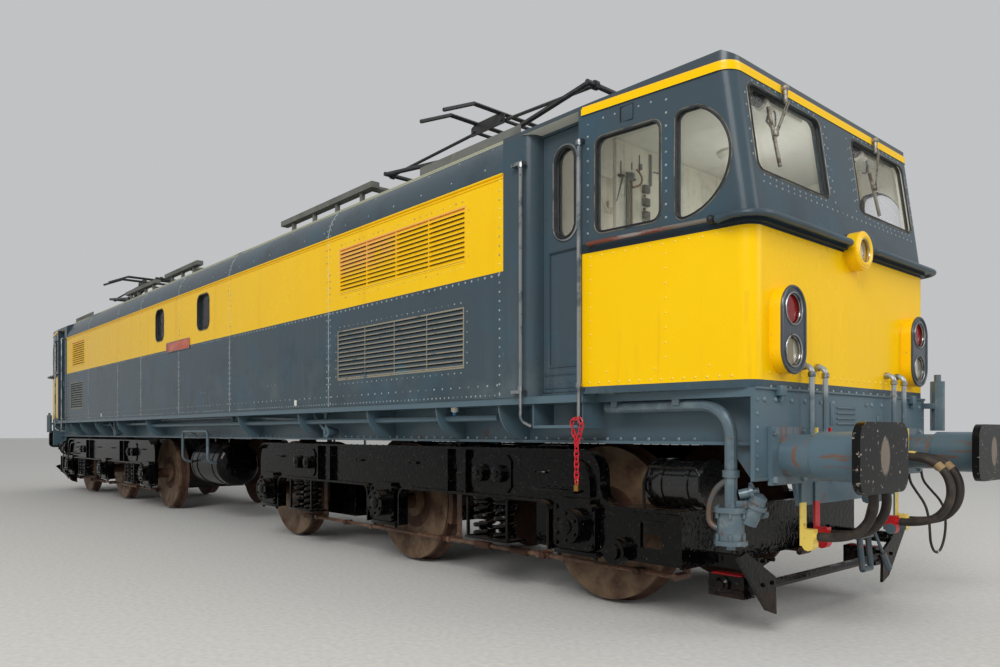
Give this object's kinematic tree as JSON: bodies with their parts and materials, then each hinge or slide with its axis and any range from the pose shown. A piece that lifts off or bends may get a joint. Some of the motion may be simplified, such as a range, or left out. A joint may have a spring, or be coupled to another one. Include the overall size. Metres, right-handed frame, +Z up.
{
  "type": "electric locomotive",
  "caption": "Electric locomotive with a cab at each end, swivelling bogies on turning wheelsets, hinged cab doors and folding roof pantographs.",
  "frame": {"origin": "middle of the locomotive at the tips of the wheel flanges", "axes": "+X along the locomotive towards cab 1, +Y to its left side, +Z up"},
  "size_m": [17.984, 2.808, 4.1968],
  "materials": {
    "body_paint": "slate blue-grey and yellow gloss paint",
    "frame_paint": "lighter slate gloss paint",
    "roof_paint": "weathered grey paint",
    "louvre_paint": "faded yellow and grey paint",
    "door_paint": "slate gloss paint",
    "bogie_paint": "thick black gloss paint",
    "wheel_steel": "rusty steel",
    "glass": "clear glass",
    "lens_red": "red ribbed glass",
    "lens_clear": "clear ribbed glass",
    "lamp_paint": "yellow and black paint",
    "cab_paint": "pale green-grey paint",
    "buffer_steel": "black paint worn to steel",
    "pipe_paint": "grey paint",
    "rail_steel": "worn bright steel",
    "pantograph_steel": "dark grey paint",
    "machinery": "grey paint",
    "hose_rubber": "dusty brown-black rubber",
    "coupling_paint": "pale yellow and red paint"
  },
  "bodies": {
    "root": {"brake_hose_1": "hose_rubber", "brake_hose_2": "hose_rubber", "brake_hose_3": "hose_rubber", "brake_hose_4": "hose_rubber", "buffer_heads": "buffer_steel", "buffer_housings": "frame_paint", "bulkheads": "cab_paint", "cab_furniture": "cab_paint", "cab_roofs": "roof_paint", "cab_shell_1": "body_paint", "cab_shell_2": "body_paint", "clear_lenses": "lens_clear", "door_frames": "body_paint", "draw_gear": "buffer_steel", "end_pipes": "pipe_paint", "equipment_block": "machinery", "handrails": "rail_steel", "hose_couplings": "coupling_paint", "jumper_cable": "hose_rubber", "lamp_housings": "lamp_paint", "louvres": "louvre_paint", "pantograph_bases": "pantograph_steel", "red_lenses": "lens_red", "reservoirs": "bogie_paint", "roof_centre": "roof_paint", "roof_gear": "roof_paint", "side_wall_left": "body_paint", "side_wall_right": "body_paint", "underframe": "frame_paint", "window_glass": "glass"},
    "bogie_1": {"bogie_1_axleboxes": "bogie_paint", "bogie_1_brake_gear": "bogie_paint", "bogie_1_frame": "bogie_paint", "bogie_1_motors": "bogie_paint", "bogie_1_springs": "bogie_paint"},
    "bogie_2": {"bogie_2_axleboxes": "bogie_paint", "bogie_2_brake_gear": "bogie_paint", "bogie_2_frame": "bogie_paint", "bogie_2_motors": "bogie_paint", "bogie_2_springs": "bogie_paint"},
    "door_1_left": {"door_1_left": "door_paint"},
    "door_1_right": {"door_1_right": "door_paint"},
    "door_2_left": {"door_2_left": "door_paint"},
    "door_2_right": {"door_2_right": "door_paint"},
    "pantograph_1_head": {"pantograph_1_head": "pantograph_steel"},
    "pantograph_1_lower_front": {"pantograph_1_lower_front": "pantograph_steel"},
    "pantograph_1_lower_rear": {"pantograph_1_lower_rear": "pantograph_steel"},
    "pantograph_1_upper_front": {"pantograph_1_upper_front": "pantograph_steel"},
    "pantograph_1_upper_rear": {"pantograph_1_upper_rear": "pantograph_steel"},
    "pantograph_2_head": {"pantograph_2_head": "pantograph_steel"},
    "pantograph_2_lower_front": {"pantograph_2_lower_front": "pantograph_steel"},
    "pantograph_2_lower_rear": {"pantograph_2_lower_rear": "pantograph_steel"},
    "pantograph_2_upper_front": {"pantograph_2_upper_front": "pantograph_steel"},
    "pantograph_2_upper_rear": {"pantograph_2_upper_rear": "pantograph_steel"},
    "wheelset_1_1": {"wheelset_1_1": "wheel_steel"},
    "wheelset_1_2": {"wheelset_1_2": "wheel_steel"},
    "wheelset_1_3": {"wheelset_1_3": "wheel_steel"},
    "wheelset_2_1": {"wheelset_2_1": "wheel_steel"},
    "wheelset_2_2": {"wheelset_2_2": "wheel_steel"},
    "wheelset_2_3": {"wheelset_2_3": "wheel_steel"}
  },
  "joints": [
    {"name": "bogie_1_swivel", "type": "hinge", "parent": "root", "child": "bogie_1", "pos_m": [4.623, 0, 1.19], "axis": [0, 0, 1], "range_deg": [-2.5, 2.5]},
    {"name": "wheelset_1_1_spin", "type": "hinge", "parent": "bogie_1", "child": "wheelset_1_1", "pos_m": [7.036, 0, 0.574], "axis": [0, 1, 0], "continuous": true},
    {"name": "wheelset_1_2_spin", "type": "hinge", "parent": "bogie_1", "child": "wheelset_1_2", "pos_m": [4.623, 0, 0.574], "axis": [0, 1, 0], "continuous": true},
    {"name": "wheelset_1_3_spin", "type": "hinge", "parent": "bogie_1", "child": "wheelset_1_3", "pos_m": [2.21, 0, 0.574], "axis": [0, 1, 0], "continuous": true},
    {"name": "bogie_2_swivel", "type": "hinge", "parent": "root", "child": "bogie_2", "pos_m": [-4.623, 0, 1.19], "axis": [0, 0, 1], "range_deg": [-2.5, 2.5]},
    {"name": "wheelset_2_1_spin", "type": "hinge", "parent": "bogie_2", "child": "wheelset_2_1", "pos_m": [-7.036, 0, 0.574], "axis": [0, 1, 0], "continuous": true},
    {"name": "wheelset_2_2_spin", "type": "hinge", "parent": "bogie_2", "child": "wheelset_2_2", "pos_m": [-4.623, 0, 0.574], "axis": [0, 1, 0], "continuous": true},
    {"name": "wheelset_2_3_spin", "type": "hinge", "parent": "bogie_2", "child": "wheelset_2_3", "pos_m": [-2.21, 0, 0.574], "axis": [0, 1, 0], "continuous": true},
    {"name": "door_1_right_hinge", "type": "hinge", "parent": "root", "child": "door_1_right", "pos_m": [6.813, -1.188, 1.49], "axis": [0, 0, 1], "range_deg": [0, 90]},
    {"name": "door_1_left_hinge", "type": "hinge", "parent": "root", "child": "door_1_left", "pos_m": [6.813, 1.188, 1.49], "axis": [0, 0, -1], "range_deg": [0, 90]},
    {"name": "door_2_right_hinge", "type": "hinge", "parent": "root", "child": "door_2_right", "pos_m": [-6.813, -1.188, 1.49], "axis": [0, 0, -1], "range_deg": [0, 90]},
    {"name": "door_2_left_hinge", "type": "hinge", "parent": "root", "child": "door_2_left", "pos_m": [-6.813, 1.188, 1.49], "axis": [0, 0, 1], "range_deg": [0, 90]},
    {"name": "pantograph_1_raise", "type": "hinge", "parent": "root", "child": "pantograph_1_lower_front", "pos_m": [5.35, 0, 3.835], "axis": [0, -1, 0], "range_deg": [0, 60]},
    {"name": "pantograph_1_lower_rear_pivot", "type": "hinge", "parent": "root", "child": "pantograph_1_lower_rear", "pos_m": [4.95, 0, 3.835], "axis": [0, 1, 0], "range_deg": [0, 60]},
    {"name": "pantograph_1_upper_front_pivot", "type": "hinge", "parent": "pantograph_1_lower_front", "child": "pantograph_1_upper_front", "pos_m": [6.59269, 0, 3.97], "axis": [0, 1, 0], "range_deg": [0, 120]},
    {"name": "pantograph_1_upper_rear_pivot", "type": "hinge", "parent": "pantograph_1_lower_rear", "child": "pantograph_1_upper_rear", "pos_m": [3.70731, 0, 3.97], "axis": [0, -1, 0], "range_deg": [0, 120]},
    {"name": "pantograph_1_head_pivot", "type": "hinge", "parent": "pantograph_1_upper_front", "child": "pantograph_1_head", "pos_m": [5.35, 0, 4.105], "axis": [0, -1, 0], "range_deg": [0, 60]},
    {"name": "pantograph_2_raise", "type": "hinge", "parent": "root", "child": "pantograph_2_lower_front", "pos_m": [-5.35, 0, 3.835], "axis": [0, 1, 0], "range_deg": [0, 60]},
    {"name": "pantograph_2_lower_rear_pivot", "type": "hinge", "parent": "root", "child": "pantograph_2_lower_rear", "pos_m": [-4.95, 0, 3.835], "axis": [0, -1, 0], "range_deg": [0, 60]},
    {"name": "pantograph_2_upper_front_pivot", "type": "hinge", "parent": "pantograph_2_lower_front", "child": "pantograph_2_upper_front", "pos_m": [-6.59269, 0, 3.97], "axis": [0, -1, 0], "range_deg": [0, 120]},
    {"name": "pantograph_2_upper_rear_pivot", "type": "hinge", "parent": "pantograph_2_lower_rear", "child": "pantograph_2_upper_rear", "pos_m": [-3.70731, 0, 3.97], "axis": [0, 1, 0], "range_deg": [0, 120]},
    {"name": "pantograph_2_head_pivot", "type": "hinge", "parent": "pantograph_2_upper_front", "child": "pantograph_2_head", "pos_m": [-5.35, 0, 4.105], "axis": [0, 1, 0], "range_deg": [0, 60]}
  ],
  "couplings": [
    {"joint": "pantograph_1_lower_rear_pivot", "follows": "pantograph_1_raise", "ratio": 1},
    {"joint": "pantograph_1_upper_front_pivot", "follows": "pantograph_1_raise", "ratio": 2},
    {"joint": "pantograph_1_upper_rear_pivot", "follows": "pantograph_1_raise", "ratio": 2},
    {"joint": "pantograph_1_head_pivot", "follows": "pantograph_1_raise", "ratio": 1},
    {"joint": "pantograph_2_lower_rear_pivot", "follows": "pantograph_2_raise", "ratio": 1},
    {"joint": "pantograph_2_upper_front_pivot", "follows": "pantograph_2_raise", "ratio": 2},
    {"joint": "pantograph_2_upper_rear_pivot", "follows": "pantograph_2_raise", "ratio": 2},
    {"joint": "pantograph_2_head_pivot", "follows": "pantograph_2_raise", "ratio": 1}
  ]
}
